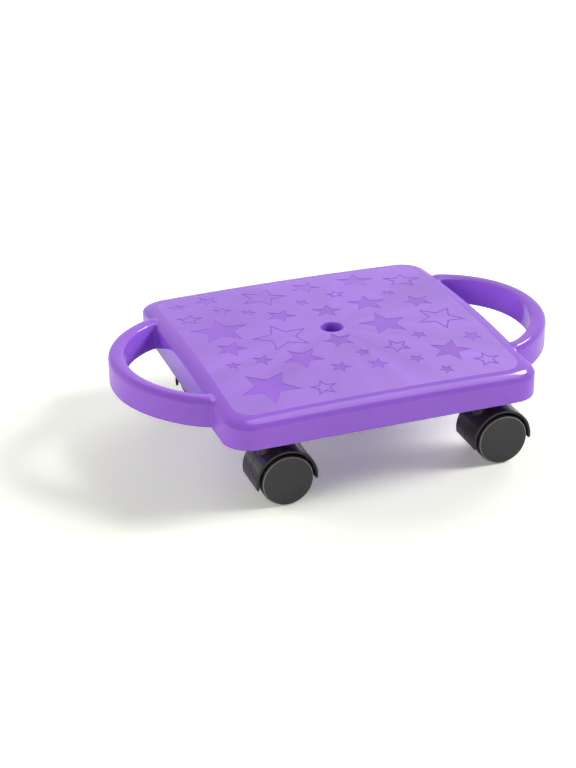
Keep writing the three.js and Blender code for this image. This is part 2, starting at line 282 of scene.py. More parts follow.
PANEL_GRAIN_SCALE = 2600
PANEL_GRAIN_STRENGTH = 0.35
PANEL_GRAIN_DEPTH = 0.05 * MM


# Node materials
def new_material(name):
    material = bpy.data.materials.new(name)
    material.use_nodes = True
    nodes = material.node_tree.nodes
    return material, nodes, material.node_tree.links, nodes["Principled BSDF"]


def noise(nodes, links, scale, detail, stretch=(1, 1, 1)):
    """A noise texture on the object's own coordinates."""
    place = nodes.new("ShaderNodeTexCoord")
    mapping = nodes.new("ShaderNodeMapping")
    mapping.inputs["Scale"].default_value = stretch
    texture = nodes.new("ShaderNodeTexNoise")
    texture.inputs["Scale"].default_value = scale
    texture.inputs["Detail"].default_value = detail
    links.new(place.outputs["Object"], mapping.inputs["Vector"])
    links.new(mapping.outputs["Vector"], texture.inputs["Vector"])
    return texture


def map_range(nodes, links, source, old, new):
    """A map range node that takes a value from the old pair of limits to the new pair."""
    moved = nodes.new("ShaderNodeMapRange")
    for socket, limit in zip(("From Min", "From Max", "To Min", "To Max"), old + new):
        moved.inputs[socket].default_value = limit
    links.new(source, moved.inputs["Value"])
    return moved


def spread(nodes, links, source, low, high):
    """Turns a noise value into a value between low and high."""
    return map_range(nodes, links, source, NOISE_RANGE, (low, high)).outputs["Result"]


def tinted(nodes, links, shader, colour, source, change):
    """Varies the base colour a little around the given colour."""
    mix = nodes.new("ShaderNodeMix")
    mix.data_type = "RGBA"
    darker = [max(0, c * (1 - change)) for c in colour[:3]] + [1]
    lighter = [min(1, c * (1 + change)) for c in colour[:3]] + [1]
    mix.inputs[6].default_value = darker
    mix.inputs[7].default_value = lighter
    links.new(source, mix.inputs["Factor"])
    links.new(mix.outputs[2], shader.inputs["Base Color"])


def bumped(nodes, links, shader, source, strength, distance):
    bump = nodes.new("ShaderNodeBump")
    bump.inputs["Strength"].default_value = strength
    bump.inputs["Distance"].default_value = distance
    links.new(source, bump.inputs["Height"])
    links.new(bump.outputs["Normal"], shader.inputs["Normal"])


def plastic(name, colour, roughness, grain_scale, grain_depth, change, stretch=(1, 1, 1)):
    """A moulded look with a fine grain and slightly uneven gloss and colour."""
    material, nodes, links, shader = new_material(name)
    broad = noise(nodes, links, TINT_SCALE, detail=3, stretch=stretch)
    grain = noise(nodes, links, grain_scale, detail=6)
    tint = spread(nodes, links, broad.outputs["Fac"], 0, 1)
    tinted(nodes, links, shader, colour, tint, change)
    low, high = roughness * (1 - GLOSS_CHANGE), roughness * (1 + GLOSS_CHANGE)
    gloss = spread(nodes, links, grain.outputs["Fac"], low, high)
    links.new(gloss, shader.inputs["Roughness"])
    bumped(nodes, links, shader, grain.outputs["Fac"], GRAIN_STRENGTH, grain_depth)
    return material


def steel(name, colour, roughness):
    grain = (STEEL_GRAIN_SCALE, STEEL_GRAIN_DEPTH)
    material = plastic(name, colour, roughness, *grain, STEEL_TINT_CHANGE, STEEL_STRETCH)
    material.node_tree.nodes["Principled BSDF"].inputs["Metallic"].default_value = 1
    return material


def frosted_panel():
    """The deck's top: a fine matt texture, with faint streaks that run out from the middle."""
    material, nodes, links, shader = new_material("panel_plastic")
    grain = noise(nodes, links, PANEL_GRAIN_SCALE, detail=4)
    place = nodes.new("ShaderNodeTexCoord")
    flat = nodes.new("ShaderNodeVectorMath")
    flat.operation = "MULTIPLY"
    flat.inputs[1].default_value = (1, 1, 0)
    links.new(place.outputs["Object"], flat.inputs[0])
    outwards = nodes.new("ShaderNodeVectorMath")
    outwards.operation = "NORMALIZE"
    links.new(flat.outputs["Vector"], outwards.inputs[0])
    streaks = nodes.new("ShaderNodeTexNoise")
    streaks.inputs["Scale"].default_value = STREAK_SCALE
    streaks.inputs["Detail"].default_value = 3
    links.new(outwards.outputs["Vector"], streaks.inputs["Vector"])
    clouds = noise(nodes, links, CLOUD_SCALE, detail=2)
    both = nodes.new("ShaderNodeMath")
    both.operation = "ADD"
    for i, (source, share) in enumerate(((streaks, STREAK_SHARE), (clouds, 1 - STREAK_SHARE))):
        links.new(spread(nodes, links, source.outputs["Fac"], 0, share), both.inputs[i])
    tinted(nodes, links, shader, PANEL_PLASTIC, both.outputs["Value"], PANEL_TINT_CHANGE)
    gloss = spread(nodes, links, streaks.outputs["Fac"], *PANEL_ROUGHNESS)
    links.new(gloss, shader.inputs["Roughness"])
    bumped(nodes, links, shader, grain.outputs["Fac"], PANEL_GRAIN_STRENGTH, PANEL_GRAIN_DEPTH)
    return material


# Plastics and rubber: name, colour, roughness, grain scale, grain depth, change of tint
shell_look = plastic("shell_plastic", SHELL_PLASTIC, 0.08, 140, 0.004 * MM, 0.04)
star_look = plastic("star_plastic", SHELL_PLASTIC, 0.22, 300, 0.004 * MM, 0.1)
panel_look = frosted_panel()
hood_look = plastic("hood_plastic", HOOD_PLASTIC, 0.15, 1400, 0.005 * MM, 0.15)
# The face rim's look: a lighter grey that paints a highlight line onto the face's rounded edge
rim_highlight_look = plastic("face_rim_painted_highlight", FACE_RIM_PAINTED_HIGHLIGHT, 0.3, 2200, 0.006 * MM, 0.12)
face_look = plastic("face_plastic", FACE_PLASTIC, 0.15, 2200, 0.006 * MM, 0.12)
rubber_look = plastic("tread_rubber", RUBBER, 0.55, 1800, 0.03 * MM, 0.2)

# Steels: name, colour, roughness
plain_steel_look = steel("plain_steel", PLAIN_STEEL, 0.3)
spring_steel_look = steel("spring_steel", SPRING_STEEL, 0.34)
socket_steel_look = steel("socket_steel", SOCKET_STEEL, 0.4)
DECK_LOOKS = [shell_look, panel_look, star_look]
SHELL, PANEL, STAR = range(3)
FACE_RIM_HIGHLIGHT = 1


# Meshes from rings of points
class Skin:
    """The points and faces of one mesh, with a look for each face."""

    def __init__(self):
        self.points = []
        self.faces = []
        self.looks = []

    def ring(self, points):
        start = len(self.points)
        self.points.extend(points)
        return list(range(start, len(self.points)))

    def face(self, corners, look=0):
        self.faces.append(corners)
        self.looks.append(look)

    def bridge(self, first, second, look=0):
        count = len(first)
        for i in range(count):
            j = (i + 1) % count
            self.face((first[i], first[j], second[j], second[i]), look)

    def stack(self, rings, look=0):
        for first, second in zip(rings, rings[1:]):
            self.bridge(first, second, look)

    def solid(self, rings, look=0):
        """A closed solid through the rings, with a flat end on the first and the last."""
        indices = [self.ring(points) for points in rings]
        self.stack(indices, look)
        self.face(tuple(indices[0]), look)
        self.face(tuple(reversed(indices[-1])), look)

    def loop(self, rings):
        """A closed surface whose last ring joins its first."""
        indices = [self.ring(points) for points in rings]
        self.stack(indices + [indices[0]])


def make_object(name, skin, looks, sharp_degrees):
    mesh = bpy.data.meshes.new(name)
    mesh.from_pydata([tuple(p) for p in skin.points], [], skin.faces)
    for look in looks:
        mesh.materials.append(look)
    mesh.polygons.foreach_set("material_index", skin.looks)
    work = bmesh.new()
    work.from_mesh(mesh)
    bmesh.ops.recalc_face_normals(work, faces=work.faces)
    work.to_mesh(mesh)
    work.free()
    mesh.shade_smooth()
    mesh.set_sharp_from_angle(angle=math.radians(sharp_degrees))
    made = bpy.data.objects.new(name, mesh)
    bpy.context.scene.collection.objects.link(made)
    return made


def attach(made, body, slot, *nodes):
    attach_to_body(made, body)
    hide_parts(*nodes)


def arc(middle, radius, start, end, steps):
    """Points on an arc in a plane, from one angle to another, in degrees."""
    angles = [math.radians(start + (end - start) * i / steps) for i in range(steps + 1)]
    return [(middle[0] + radius * math.cos(a), middle[1] + radius * math.sin(a)) for a in angles]


def softened(profile, rounds, steps):
    """A closed profile whose corners are cut by short curves of the given lengths."""
    count = len(profile)
    soft = []
    for i, corner in enumerate(profile):
        here = Vector(corner)
        before = Vector(profile[i - 1]) - here
        after = Vector(profile[(i + 1) % count]) - here
        cut = rounds[i] if isinstance(rounds, (list, tuple)) else rounds
        cut = min(cut, before.length * CUT_LIMIT_SHARE, after.length * CUT_LIMIT_SHARE)
        if cut == 0:
            soft.append(tuple(here))
            continue
        start, end = here + before.normalized() * cut, here + after.normalized() * cut
        for k in range(steps + 1):
            t = k / steps
            soft.append(tuple(start * (1 - t) ** 2 + here * 2 * t * (1 - t) + end * t ** 2))
    return soft


def turned(skin, profile, segments, place):
    """A closed ring-shaped solid: a closed profile of (radius, height) turned about Z."""
    rings = []
    for i in range(segments):
        angle = 2 * math.pi * i / segments
        cosine, sine = math.cos(angle), math.sin(angle)
        rings.append([place @ Vector((r * cosine, r * sine, z)) for r, z in profile])
    skin.loop(rings)


def turned_solid(skin, profile, segments, place, look=0):
    """A solid turned about Z from an open profile that starts and ends on the axis."""
    rings = []
    for r, z in profile[1:-1]:
        angles = [2 * math.pi * i / segments for i in range(segments)]
        rings.append([place @ Vector((r * math.cos(a), r * math.sin(a), z)) for a in angles])
    indices = [skin.ring(points) for points in rings]
    skin.stack(indices, look)
    for end, near in ((profile[0], indices[0]), (profile[-1], indices[-1])):
        tip = skin.ring([place @ Vector((0, 0, end[1]))])[0]
        for i in range(segments):
            skin.face((near[i], near[(i + 1) % segments], tip), look)


# Deck
def rounded_rectangle(low, high, radius):
    """Points round a rectangle with round corners, from its front right corner on."""
    corners = (
        (high[0] - radius, low[1] + radius, -90),
        (high[0] - radius, high[1] - radius, 0),
        (low[0] + radius, high[1] - radius, 90),
        (low[0] + radius, low[1] + radius, 180),
    )
    arcs = [arc((x, y), radius, start, start + 90, CORNER_STEPS) for x, y, start in corners]
    outline = []
    for i, corner in enumerate(arcs):
        outline.extend(corner)
        end, begin = Vector(corner[-1]), Vector(arcs[(i + 1) % len(arcs)][0])
        outline.extend(tuple(end.lerp(begin, k / SIDE_STEPS)) for k in range(1, SIDE_STEPS))
    return outline


def deck_outline(inset):
    x, y = HALF_WIDTH - inset, HALF_DEPTH - inset
    radius = max(DECK_CORNER_RADIUS - inset, INSIDE_CORNER_RADIUS)
    return rounded_rectangle((-x, -y), (x, y), radius)


def panel_outline():
    low = (-HALF_WIDTH + PANEL_INSET_SIDE, -HALF_DEPTH + PANEL_INSET_FRONT)
    high = (HALF_WIDTH - PANEL_INSET_SIDE, HALF_DEPTH - PANEL_INSET_BACK)
    return rounded_rectangle(low, high, PANEL_CORNER_RADIUS)


def crown_rise(x, y):
    along_depth = CROWN_ALONG_DEPTH * (1 - (y / HALF_DEPTH) ** 2)
    return along_depth + CROWN_ALONG_WIDTH * (1 - (x / HALF_WIDTH) ** 2)


def crowned(outline, height):
    return [(x, y, height + crown_rise(x, y)) for x, y in outline]


def level(outline, height):
    return [(x, y, height) for x, y in outline]


def edge_rise(inset):
    """Height of the edge rounding over the wall's top, at a distance from the deck's outline."""
    share = min(max(inset / EDGE_ROUND_REACH, 0), 1)
    return EDGE_ROUND_DROP * math.sqrt(1 - (1 - share) ** 2)


def edge_rings(skin, inset, drop, steps, last_degrees=90):
    """Rings up the rounding of the deck's edge, the steepest of them close together."""
    rings = []
    for i in range(steps + 1):
        angle = math.radians(last_degrees) * i / steps
        reach = EDGE_ROUND_REACH * (1 - math.cos(angle))
        height = WALL_TOP - drop + EDGE_ROUND_DROP * math.sin(angle)
        rings.append(skin.ring(crowned(deck_outline(inset + reach), height)))
    return rings


def circle(radius):
    """Points round the deck's middle hole or its tube."""
    angles = [2 * math.pi * i / HOLE_SEGMENTS for i in range(HOLE_SEGMENTS)]
    return [(radius * math.cos(a), radius * math.sin(a)) for a in angles]


def star_edge_distance(radius):
    """Distance from a star's middle to the straight line through any of its edges."""
    step = math.pi / STAR_TIP_COUNT
    tip = Vector((radius, 0))
    notch = Vector((math.cos(step), math.sin(step))) * radius * STAR_INNER_SHARE
    return abs(tip.cross(notch)) / (tip - notch).length


def star_outline(star, inset):
    """The ten corners of a star, moved inwards by the same distance on every edge."""
    x, y, size, turn = star
    radius = STAR_RADII[size]
    scale = 1 - inset / star_edge_distance(radius)
    corners = []
    for i in range(2 * STAR_TIP_COUNT):
        angle = math.radians(90 + turn) + math.pi * i / STAR_TIP_COUNT
        reach = radius * scale * (1 if i % 2 == 0 else STAR_INNER_SHARE)
        along, up = reach * math.cos(angle), reach * math.sin(angle)
        corners.append((x * HALF_WIDTH + along, y * HALF_DEPTH + up))
    return corners


def star_depth_at(point, star):
    """How far inside a star's outline a point lies, and below zero outside it."""
    x, y, size, turn = star
    offset = Vector(point) - Vector((x * HALF_WIDTH, y * HALF_DEPTH))
    radius = STAR_RADII[size]
    step = math.pi / STAR_TIP_COUNT
    angle = (math.atan2(offset.y, offset.x) - math.radians(90 + turn)) % (2 * step)
    angle = min(angle, 2 * step - angle)
    edge = star_edge_distance(radius)
    slope = math.acos(edge / radius)
    return edge - offset.length * math.cos(slope - angle)


def star_levels():
    """Each star with its outlines, as pairs of an inset and a depth below the panel."""
    sunk = [(star, ((0, 0), (STAR_SLOPE_RUN, STAR_DEPTH))) for star in SUNK_STARS]
    groove = (
        (0, 0),
        (STAR_SLOPE_RUN, STAR_DEPTH),
        (STAR_STROKE - STAR_SLOPE_RUN, STAR_DEPTH),
        (STAR_STROKE, 0),
    )
    return sunk + [(star, groove) for star in OUTLINED_STARS]


def grid_depth(point, stars):
    """Depth of the panel at a grid point, or None where it is too close to a star's edge."""
    for star, outlines in stars:
        inside = star_depth_at(point, star)
        if inside < -STAR_KEEP_CLEAR:
            continue
        if inside < outlines[-1][0] + STAR_KEEP_CLEAR:
            return None
        return outlines[-1][1]
    return 0


def grid_points(low, high, hole_radius, grid, stars):
    """Grid points with their depths, clear of a surface's corners, hole and star edges."""
    columns = int((high.x - low.x) / grid)
    rows = int((high.y - low.y) / grid)
    corner = DECK_CORNER_RADIUS / 2
    found = []
    for i in range(1, columns):
        for j in range(1, rows):
            across = low.x + (high.x - low.x) * i / columns
            point = Vector((across, low.y + (high.y - low.y) * j / rows))
            out = max(abs(point.x) - high.x + corner, 0) + max(abs(point.y) - high.y + corner, 0)
            if out > corner or point.length < hole_radius + grid / 2:
                continue
            depth = grid_depth(point, stars)
            if depth is not None:
                found.append((point, depth))
    return found


def loop_edges(start, count):
    """The edges of a closed loop of points, as pairs of the points' numbers."""
    return [(start + i, start + (i + 1) % count) for i in range(count)]


def fill_surface(skin, outer, inner, height, grid, stars, top_look, sunk_look):
    """Fills a crowned surface between two rings of the mesh, with stars sunk into it."""
    ids = list(outer) + list(inner)
    places = [Vector(skin.points[i][:2]) for i in ids]
    depths = [0] * len(ids)
    edges = loop_edges(0, len(outer)) + loop_edges(len(outer), len(inner))
    low = Vector((min(p.x for p in places), min(p.y for p in places)))
    high = Vector((max(p.x for p in places), max(p.y for p in places)))
    inner_radius = places[-1].length
    for star, outlines in stars:
        for inset, depth in outlines:
            corners = star_outline(star, inset)
            edges += loop_edges(len(places), len(corners))
            places += [Vector(p) for p in corners]
            depths += [depth] * len(corners)
    for point, depth in grid_points(low, high, inner_radius, grid, stars):
        places.append(point)
        depths.append(depth)
    result = delaunay_2d_cdt(places, edges, [], 1, MERGE_DISTANCE)
    made, triangles, sources = result[0], result[2], result[3]
    index = []
    level_of = []
    for point, source in zip(made, sources):
        depth = depths[source[0]] if source else 0
        level_of.append(depth)
        if source and source[0] < len(ids):
            index.append(ids[source[0]])
        else:
            z = height + crown_rise(point.x, point.y) - depth
            index.append(skin.ring([(point.x, point.y, z)])[0])
    for triangle in triangles:
        middle = sum((made[i] for i in triangle), Vector((0, 0))) / 3
        if middle.length < inner_radius * math.cos(math.pi / len(inner)):
            continue
        sunk = any(level_of[i] > 0 for i in triangle)
        skin.face(tuple(index[i] for i in triangle), sunk_look if sunk else top_look)


def build_deck_shell(skin):
    """The deck's top, edge, wall, underside and middle tube as one closed surface."""
    outer = edge_rings(skin, 0, 0, EDGE_STEPS, EDGE_LAST_DEGREES)
    rim_height = SKIRT_BOTTOM + RIM_ROUND
    bottom_outside = [skin.ring(level(deck_outline(0), rim_height + ROUND_SUPPORT))]
    for reach, height in arc((RIM_ROUND, rim_height), RIM_ROUND, 180, 270, RIM_STEPS):
        bottom_outside.append(skin.ring(level(deck_outline(reach), height)))
    bottom_inside = []
    for reach, height in arc((DECK_WALL - RIM_ROUND, rim_height), RIM_ROUND, 270, 360, RIM_STEPS):
        bottom_inside.append(skin.ring(level(deck_outline(reach), height)))
    hollow = edge_rings(skin, DECK_WALL, DECK_WALL, HOLLOW_EDGE_STEPS)
    skin.stack(list(reversed(bottom_outside + bottom_inside + hollow)) + outer, SHELL)
    border = skin.ring(crowned(panel_outline(), EDGE_HEIGHT))
    skin.bridge(outer[-1], border, SHELL)
    rim = []
    for angle in range(0, 91, HOLE_RIM_STEP_DEGREES):
        radius = HOLE_RADIUS + HOLE_RIM_ROUND * (1 - math.sin(math.radians(angle)))
        drop = HOLE_RIM_ROUND * (1 - math.cos(math.radians(angle)))
        rim.append(skin.ring(crowned(circle(radius), EDGE_HEIGHT - drop)))
    bottom = SKIRT_BOTTOM + RIB_LIFT
    ceiling = EDGE_HEIGHT - DECK_WALL
    tube_radius = HOLE_RADIUS + TUBE_WALL
    tube = [
        skin.ring(level(circle(HOLE_RADIUS), bottom + RIM_ROUND)),
        skin.ring(level(circle(HOLE_RADIUS + RIM_ROUND), bottom)),
        skin.ring(level(circle(tube_radius - RIM_ROUND), bottom)),
        skin.ring(level(circle(tube_radius), bottom + RIM_ROUND)),
        skin.ring(crowned(circle(tube_radius), ceiling)),
    ]
    skin.stack(rim + tube, SHELL)
    fill_surface(skin, border, rim[0], EDGE_HEIGHT, PANEL_GRID, star_levels(), PANEL, STAR)
    fill_surface(skin, hollow[-1], tube[-1], ceiling, CEILING_GRID, [], SHELL, SHELL)


def rib_top(x, y):
    inset = min(HALF_WIDTH - abs(x), HALF_DEPTH - abs(y))
    return WALL_TOP + edge_rise(inset) + crown_rise(x, y) - DECK_WALL / 2


def add_rib(skin, place, along_x):
    """One rib under the deck, slightly thinner at its lower edge."""
    half = (HALF_WIDTH if along_x else HALF_DEPTH) - DECK_WALL / 2
    bottom = SKIRT_BOTTOM + RIB_LIFT
    head = RIB_THICKNESS / 2
    foot = head * RIB_FOOT_SHARE
    rings = []
    for i in range(RIB_STEPS + 1):
        along = -half * math.cos(math.pi * i / RIB_STEPS)
        x, y = (along, place) if along_x else (place, along)
        top = rib_top(x, y)
        corners = [(-head, top), (head, top), (foot, bottom), (-foot, bottom)]
        if along_x:
            rings.append([(along, place + aside, z) for aside, z in corners])
        else:
            rings.append([(place + aside, along, z) for aside, z in corners])
    skin.solid(rings, SHELL)


def build_ribs(skin):
    for i in range(RIBS_EACH_WAY):
        share = (i + 1) / (RIBS_EACH_WAY + 1) * 2 - 1
        add_rib(skin, share * HALF_DEPTH, True)
        add_rib(skin, share * HALF_WIDTH, False)


def caster_axis(corner):
    """Where a caster's swivel axis meets the floor."""
    middle = box_middle(corner + "_socket")
    return Vector((middle.x, middle.y, 0))


def build_bosses(skin):
    """The tubes under the deck that hold the caster sockets, each closed at its top."""
    socket_low, socket_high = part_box("front_left_socket")
    bottom = socket_low.z + BOSS_LIFT
    bore = box_size("front_left_socket").x / 2 - BOSS_BORE_INSET
    bore_top = socket_high.z + FIT_GAP
    outside = bore + BOSS_WALL
    for corner in CORNERS:
        axis = caster_axis(corner)
        top = EDGE_HEIGHT + crown_rise(axis.x, axis.y) - DECK_WALL / 2
        profile = [
            (0, bore_top),
            (bore, bore_top),
            (bore, bottom + RIM_ROUND),
            (bore + RIM_ROUND, bottom),
            (outside - RIM_ROUND, bottom),
            (outside, bottom + RIM_ROUND),
            (outside, top),
            (0, top),
        ]
        turned_solid(skin, profile, ROUND_SEGMENTS, Matrix.Translation(axis), SHELL)


# Handles
def bar_profile(width):
    """The closed section of a handle bar, as (distance from its outer face, height)."""
    crest = width * HANDLE_CREST_SHARE
    bottom = HANDLE_BOTTOM
    profile = arc((RIM_ROUND, bottom + RIM_ROUND), RIM_ROUND, 270, 180, RIM_STEPS)
    profile.append((0, bottom + RIM_ROUND + ROUND_SUPPORT))
    step = HANDLE_ARC_STEP_DEGREES
    for degrees in range(0, 91, step):
        a = math.radians(degrees)
        across = crest * (1 - math.cos(a))
        profile.append((across, HANDLE_TOP - HANDLE_OUTER_DROP * (1 - math.sin(a))))
    for degrees in range(90 - step, -1, -step):
        a = math.radians(degrees)
        across = crest + (width - crest) * math.cos(a)
        profile.append((across, HANDLE_TOP - HANDLE_INNER_DROP * (1 - math.sin(a))))
    profile.append((width, bottom + RIM_ROUND + ROUND_SUPPORT))
    profile += arc((width - RIM_ROUND, bottom + RIM_ROUND), RIM_ROUND, 0, -90, RIM_STEPS)
    ceiling = HANDLE_TOP - HANDLE_OUTER_DROP - HANDLE_WALL
    cut = HANDLE_CHANNEL_ROUND
    profile += [
        (width - HANDLE_WALL, bottom),
        (width - HANDLE_WALL, ceiling - cut),
        (width - HANDLE_WALL - cut, ceiling),
        (HANDLE_WALL + cut, ceiling),
        (HANDLE_WALL, ceiling - cut),
        (HANDLE_WALL, bottom),
    ]
    return profile


def flare(gap):
    """How much wider the bar gets close to the deck's wall."""
    near = min(max(HANDLE_FILLET - gap, 0), HANDLE_FILLET)
    return HANDLE_FILLET - math.sqrt(HANDLE_FILLET ** 2 - near ** 2)


def squeezed(height, lowest):
    """Lifts a height that is under the lowest one allowed, and keeps the points apart."""
    return height if height > lowest else lowest - (lowest - height) * HANDLE_SQUEEZE


def blended(height, surface):
    """The higher of a bar's height and the deck's surface, with a soft passage between them."""
    near = max(HANDLE_ROOT_BLEND - abs(height - surface), 0) / HANDLE_ROOT_BLEND
    return max(height, surface) + near ** 2 * HANDLE_ROOT_BLEND / 4


def wall_share(height, y):
    """One beside the deck's wall, falling to zero at the top of the rounding over it."""
    climb = (height - WALL_TOP - crown_rise(HALF_WIDTH, y)) / EDGE_ROUND_DROP
    return 1 - min(max(climb, 0), 1)


def bar_station(share, side, inwards):
    """The bar's section at a share of its span, or at a depth inwards of the deck's wall."""
    reach_share = (1 - abs(share) ** HANDLE_CURVE_POWER) ** HANDLE_FLAT_POWER
    drop = HANDLE_ROOT_DROP * abs(share) ** HANDLE_ROOT_POWER
    drop += HANDLE_ROOT_SINK * (inwards / HANDLE_ROOT_DEPTH) ** HANDLE_SINK_POWER
    reaches = (HANDLE_REACH * reach_share - inwards, FINGER_REACH * reach_share - inwards)
    outer = Vector((HALF_WIDTH + reaches[0], HANDLE_HALF_SPAN * share))
    inner = Vector((HALF_WIDTH + reaches[1], FINGER_HALF_SPAN * share))
    across = inner - outer
    width = across.length
    across.normalize()
    points = []
    for along, height in bar_profile(width):
        z = height - drop
        lean = 2 * along / width - 1
        widening = flare(reaches[lean > 0]) * wall_share(z, outer.y)
        spot = outer + across * (along + lean * widening)
        if inwards > 0:
            surface = WALL_TOP + edge_rise(inwards) + crown_rise(spot.x, spot.y)
            if height > HANDLE_TOP - HANDLE_OUTER_DROP:
                z = blended(z, surface - HANDLE_ROOT_BURIAL)
            z = squeezed(z, surface - HANDLE_SKIN)
        points.append((side * spot.x, spot.y, z))
    return points


def build_handle(skin, side):
    """A bar swept round its curve, whose ends run up into the rounding of the deck's edge."""
    depths = [HANDLE_ROOT_DEPTH * i / HANDLE_ROOT_STEPS for i in range(HANDLE_ROOT_STEPS, 0, -1)]
    rings = [bar_station(-1, side, depth) for depth in depths]
    for i in range(HANDLE_STEPS + 1):
        rings.append(bar_station(-math.cos(math.pi * i / HANDLE_STEPS), side, 0))
    rings.extend(bar_station(1, side, depth) for depth in reversed(depths))
    skin.solid(rings, SHELL)


def make_deck():
    """The whole deck with its ribs, bosses and handles as one piece."""
    skin = Skin()
    build_deck_shell(skin)
    build_ribs(skin)
    build_bosses(skin)
    build_handle(skin, -1)
    build_handle(skin, 1)
    deck = make_object("deck_moulding", skin, DECK_LOOKS, DECK_SHARP_DEGREES)
    attach(deck, "board", "deck_plastic", "deck")


# Casters, built about the swivel axis with the axle towards +X
AXLE_MIDDLE = Matrix.Translation((CASTER_TRAIL, 0, WHEEL_RADIUS))
AXLE_PLACE = AXLE_MIDDLE @ Matrix.Rotation(math.pi / 2, 4, "X")


def caster_matrix(corner):
    """Place and heading of a caster at rest."""
    axis = caster_axis(corner)
    trail = box_middle(corner + "_axle") - axis
    heading = math.atan2(trail.y, trail.x)
    return Matrix.Translation(axis) @ Matrix.Rotation(heading, 4, "Z")


def hood_section(angle, inner, outer, half):
    """One closed section of the hood at an angle about the axle."""
    corner = min(HOOD_EDGE_ROUND, (outer - inner) * CUT_LIMIT_SHARE)
    flat_start = HOOD_SEAM_WIDTH + ROUND_SUPPORT
    flat_end = half - corner - ROUND_SUPPORT
    groove = [(outer, -HOOD_SEAM_WIDTH), (outer - HOOD_SEAM_DEPTH, 0), (outer, HOOD_SEAM_WIDTH)]
    profile = [(inner, -half), (outer, -half), (outer, -flat_end), (outer, -flat_start)] + groove
    profile += [(outer, flat_start), (outer, flat_end), (outer, half), (inner, half)]
    rounds = [corner, corner] + [0] * (len(profile) - 4) + [corner, corner]
    soft = softened(profile, rounds, HOOD_EDGE_STEPS)
    cosine, sine = math.cos(angle), math.sin(angle)
    return [Vector((r * cosine, r * sine, along)) for r, along in soft]


def hood_angles(steps):
    """Angles about the axle from the hood's back edge over its top to its front edge."""
    start, end = math.radians(-HOOD_BACK_DEGREES), math.radians(180 + HOOD_FRONT_DEGREES)
    return [start + (end - start) * i / steps for i in range(steps + 1)]


def hood_lip(edge_angle, side):
    """The rounded end of the hood, as sections from its tip to the full thickness."""
    outer = HOOD_INNER_RADIUS + HOOD_WALL
    lip = HOOD_WALL / 2
    sections = []
    for share in HOOD_LIP_SHARES:
        shrink = lip * (1 - math.sqrt(1 - (1 - share) ** 2))
        angle = edge_angle + side * lip / outer * (1 - share)
        inner, half = HOOD_INNER_RADIUS + shrink, HOOD_HALF_LENGTH - shrink
        sections.append(hood_section(angle, inner, outer - shrink, half))
    return sections


def build_hood(skin, place):
    """The shell over both wheels, with a rounded lip at its back and its front."""
    outer = HOOD_INNER_RADIUS + HOOD_WALL
    angles = hood_angles(HOOD_STEPS)
    rings = hood_lip(angles[0], -1)
    rings += [hood_section(a, HOOD_INNER_RADIUS, outer, HOOD_HALF_LENGTH) for a in angles]
    rings += reversed(hood_lip(angles[-1], 1))
    skin.solid([[place @ point for point in ring] for ring in rings])


def build_web(skin, place):
    """The plate between the two wheels, from the axle out into the hood."""
    inner, outer = AXLE_BOSS_RADIUS / 2, HOOD_INNER_RADIUS + HOOD_WALL / 2
    corners = [(inner, -WEB_HALF), (outer, -WEB_HALF), (outer, WEB_HALF), (inner, WEB_HALF)]
    rings = []
    for angle in hood_angles(WEB_STEPS):
        cosine, sine = math.cos(angle), math.sin(angle)
        rings.append([place @ Vector((r * cosine, r * sine, along)) for r, along in corners])
    skin.solid(rings)


def build_housing(matrix):
    """A caster's hood, web, stem column and axle boss, which are one moulding."""
    skin = Skin()
    axle_place = matrix @ AXLE_PLACE
    build_hood(skin, axle_place)
    build_web(skin, axle_place)
    bore = STEM_RADIUS + FIT_GAP
    bore_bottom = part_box("front_left_stem")[0].z - FIT_GAP
    column = [
        (0, COLUMN_FOOT),
        (COLUMN_RADIUS - RIM_ROUND, COLUMN_FOOT),
        (COLUMN_RADIUS, COLUMN_FOOT + RIM_ROUND),
        (COLUMN_RADIUS, COLUMN_TOP - RIM_ROUND),
        (COLUMN_RADIUS - RIM_ROUND, COLUMN_TOP),
        (bore, COLUMN_TOP),
        (bore, bore_bottom),
        (0, bore_bottom),
    ]
    turned_solid(skin, column, ROUND_SEGMENTS, matrix)
    axle_bore = AXLE_RADIUS + FIT_GAP
    boss = softened([
        (axle_bore, -AXLE_BOSS_HALF),
        (AXLE_BOSS_RADIUS, -AXLE_BOSS_HALF),
        (AXLE_BOSS_RADIUS, AXLE_BOSS_HALF),
        (axle_bore, AXLE_BOSS_HALF),
    ], RIM_ROUND / 2, steps=2)
    turned(skin, boss, SMALL_ROUND_SEGMENTS, axle_place)
    return skin


